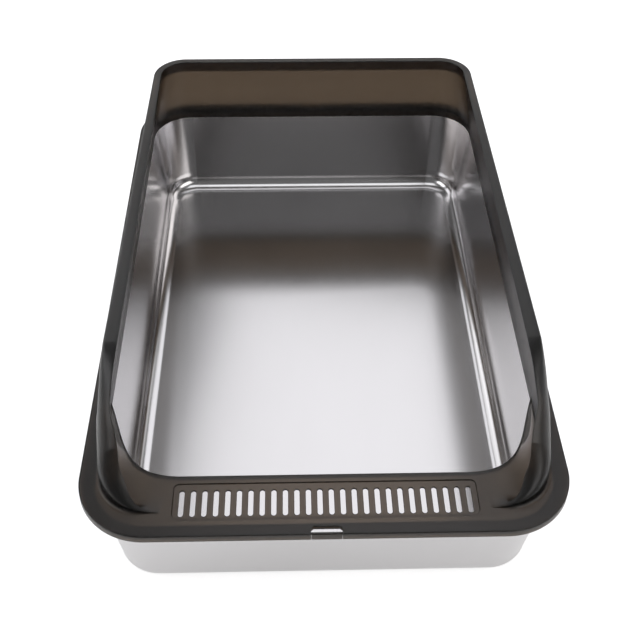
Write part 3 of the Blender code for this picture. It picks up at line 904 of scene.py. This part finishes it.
def make_floor():
    """Pale floor that is white to the camera, through glass and in gloss, and keeps the shadow."""
    bm = bmesh.new()
    bmesh.ops.create_grid(bm, x_segments=1, y_segments=1, size=FLOOR_SIZE)
    floor = add_object("studio_floor", mesh_from("studio_floor", bm))
    material, nodes, links, shader = new_material(
        "pale_floor", {"Base Color": (*FLOOR_COLOUR, 1), "Roughness": FLOOR_ROUGHNESS})
    path = nodes.new("ShaderNodeLightPath")
    glow = nodes.new("ShaderNodeEmission")
    seen = largest(nodes, links, [path.outputs["Is Camera Ray"],
                                  path.outputs["Is Transmission Ray"],
                                  path.outputs["Is Glossy Ray"]])
    share = combined(nodes, links, "MULTIPLY",
                     mapped(nodes, links, seen, UNIT_SPAN, (0, FLOOR_GLOW)),
                     mapped(nodes, links, path.outputs["Is Glossy Ray"], UNIT_SPAN,
                            (1, GLOSS_SHARE)))
    links.new(share, glow.inputs["Strength"])
    blend = nodes.new("ShaderNodeAddShader")
    links.new(shader.outputs["BSDF"], blend.inputs[0])
    links.new(glow.outputs["Emission"], blend.inputs[1])
    links.new(blend.outputs["Shader"], nodes["Material Output"].inputs["Surface"])
    floor.data.materials.append(material)


def make_world():
    """White backdrop, and above it a dimmer studio that only polished surfaces show."""
    world = bpy.data.worlds.new("studio")
    bpy.context.scene.world = world
    world.use_nodes = True
    nodes = world.node_tree.nodes
    links = world.node_tree.links
    background = nodes["Background"]
    path = nodes.new("ShaderNodeLightPath")
    place = nodes.new("ShaderNodeTexCoord")
    parts = nodes.new("ShaderNodeSeparateXYZ")
    links.new(place.outputs["Generated"], parts.inputs["Vector"])
    dome = nodes.new("ShaderNodeMapRange")
    dome.interpolation_type = "SMOOTHSTEP"
    dome.inputs["From Min"].default_value = BACKDROP_TOP[0]
    dome.inputs["From Max"].default_value = BACKDROP_TOP[1]
    dome.inputs["To Min"].default_value = 1.0
    dome.inputs["To Max"].default_value = DOME_LEVEL
    tilt = nodes.new("ShaderNodeMath")
    tilt.operation = "MULTIPLY_ADD"
    tilt.inputs[1].default_value = -BACKDROP_TILT
    links.new(parts.outputs["Y"], tilt.inputs[0])
    links.new(parts.outputs["Z"], tilt.inputs[2])
    links.new(tilt.outputs["Value"], dome.inputs["Value"])
    by_gloss = nodes.new("ShaderNodeMix")
    by_gloss.inputs["A"].default_value = FILL_LEVEL
    links.new(largest(nodes, links, [path.outputs["Is Glossy Ray"],
                                     path.outputs["Is Transmission Ray"]]),
              by_gloss.inputs["Factor"])
    links.new(dome.outputs["Result"], by_gloss.inputs["B"])
    by_sight = nodes.new("ShaderNodeMix")
    by_sight.inputs["B"].default_value = 1.0
    links.new(path.outputs["Is Camera Ray"], by_sight.inputs["Factor"])
    links.new(by_gloss.outputs["Result"], by_sight.inputs["A"])
    links.new(by_sight.outputs["Result"], background.inputs["Strength"])
    background.inputs["Color"].default_value = (1, 1, 1, 1)


def make_softbox(name, turn, rise, size, level, colour):
    """Area lamp of a given brightness that faces the box."""
    turn, rise = radians(turn), radians(rise)
    way = Vector((sin(turn) * cos(rise), cos(turn) * cos(rise), sin(rise)))
    place = way * SOFTBOX_DISTANCE
    data = bpy.data.lights.new(name, "AREA")
    data.shape = "RECTANGLE"
    data.size, data.size_y = size
    data.energy = level * pi * size[0] * size[1]
    data.color = colour
    lamp = bpy.data.objects.new(name, data)
    bpy.context.scene.collection.objects.link(lamp)
    lamp.location = place
    lamp.rotation_euler = (-place).to_track_quat("-Z", "Y").to_euler()


def make_camera():
    data = bpy.data.cameras.new("camera")
    data.sensor_width = SENSOR
    data.lens = FOCAL_PIXELS / IMAGE_SIZE * SENSOR
    data.shift_x = (IMAGE_SIZE / 2 - CENTRE_PIXEL) / IMAGE_SIZE
    camera = bpy.data.objects.new("camera", data)
    bpy.context.scene.collection.objects.link(camera)
    forward = Vector((sin(CAMERA_YAW) * cos(CAMERA_PITCH), cos(CAMERA_YAW) * cos(CAMERA_PITCH),
                      -sin(CAMERA_PITCH)))
    level = Vector((cos(CAMERA_YAW), -sin(CAMERA_YAW), 0))
    upright = level.cross(forward)
    right = cos(CAMERA_ROLL) * level + sin(CAMERA_ROLL) * upright
    up = -sin(CAMERA_ROLL) * level + cos(CAMERA_ROLL) * upright
    matrix = Matrix((right, up, -forward)).transposed().to_4x4()
    camera.matrix_world = Matrix.Translation(CAMERA_PLACE) @ matrix
    bpy.context.scene.camera = camera


def build():
    bpy.context.scene.view_settings.view_transform = "Standard"
    steel = steel_material()
    plastic = plastic_material()
    rubber = rubber_material()
    make_pan(steel)
    make_feet(rubber)
    make_enclosure(plastic)
    make_catches(plastic)
    make_floor()
    make_world()
    for softbox in SOFTBOXES:
        make_softbox(*softbox)
    make_camera()


build()
